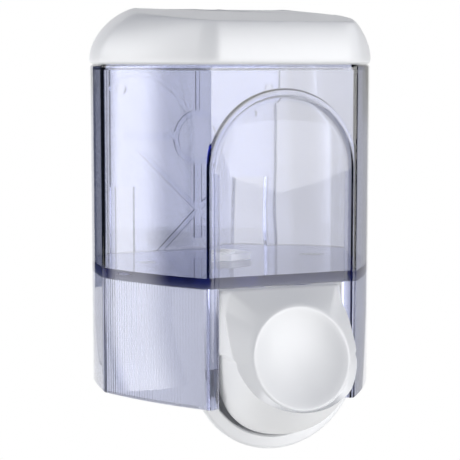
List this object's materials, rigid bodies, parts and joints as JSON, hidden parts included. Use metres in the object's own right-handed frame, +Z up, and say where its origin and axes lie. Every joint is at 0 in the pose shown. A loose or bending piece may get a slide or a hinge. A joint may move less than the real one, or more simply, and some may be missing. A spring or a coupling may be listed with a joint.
{
  "type": "wall mounted soap dispenser",
  "caption": "Wall mounted liquid soap dispenser: clear refillable tank, hinged white lid with a lock, and a front push button that works a piston pump in the housing under the tank.",
  "frame": {"origin": "middle of the wall plate's back face, on the wall", "axes": "+X to the right seen from the room, -Y out of the wall towards the user, +Z up"},
  "size_m": [0.1412, 0.1448, 0.2078],
  "materials": {
    "clear": "clear blue-tinted plastic, polished",
    "white": "smooth white moulding",
    "steel": "bright zinc or stainless",
    "rubber": "matt"
  },
  "bodies": {
    "frame": {"wall_plate": "clear", "lock_catch": "clear", "tank_body": "clear", "pump_housing": "white", "pump_cylinder": "white", "cylinder_cap": "white", "hinge_pin": "steel", "inlet_seat": "rubber", "inlet_strainer": "clear", "floor_gasket": "rubber", "retaining_nut": "clear", "outlet_valve": "rubber", "nozzle_tip": "white", "housing_screw_left": "steel", "housing_screw_right": "steel", "pump_spring": "steel"},
    "lid": {"lid": "white", "bolt_keeper": "white", "keeper_screw_left": "steel", "keeper_screw_right": "steel"},
    "bolt": {"lock_bolt": "white"},
    "button": {"push_button": "white"},
    "plunger": {"pump_plunger": "white", "plunger_seal": "rubber"},
    "ball": {"inlet_ball": "steel"}
  },
  "joints": [
    {"name": "lid_hinge", "type": "hinge", "parent": "frame", "child": "lid", "pos_m": [0, -0.117, 0.05115], "axis": [1, 0, 0], "range_deg": [0, 80]},
    {"name": "lock_bolt_slide", "type": "slide", "parent": "lid", "child": "bolt", "axis": [0, 1, 0], "range_m": [0, 0.005]},
    {"name": "button_press", "type": "hinge", "parent": "frame", "child": "button", "pos_m": [0, -0.108, -0.056], "axis": [1, 0, 0], "range_deg": [0, 8], "stiffness_Nm_per_rad": 1.5, "springref_deg": -4.58},
    {"name": "plunger_slide", "type": "slide", "parent": "frame", "child": "plunger", "axis": [0, 1, 0], "range_m": [0, 0.0048], "deforming": ["pump_spring"]},
    {"name": "inlet_ball_lift", "type": "slide", "parent": "frame", "child": "ball", "axis": [0, 0, 1], "range_m": [0, 0.0015]}
  ],
  "couplings": [
    {"joint": "plunger_slide", "follows": "button_press", "m_per_rad": 0.034}
  ]
}
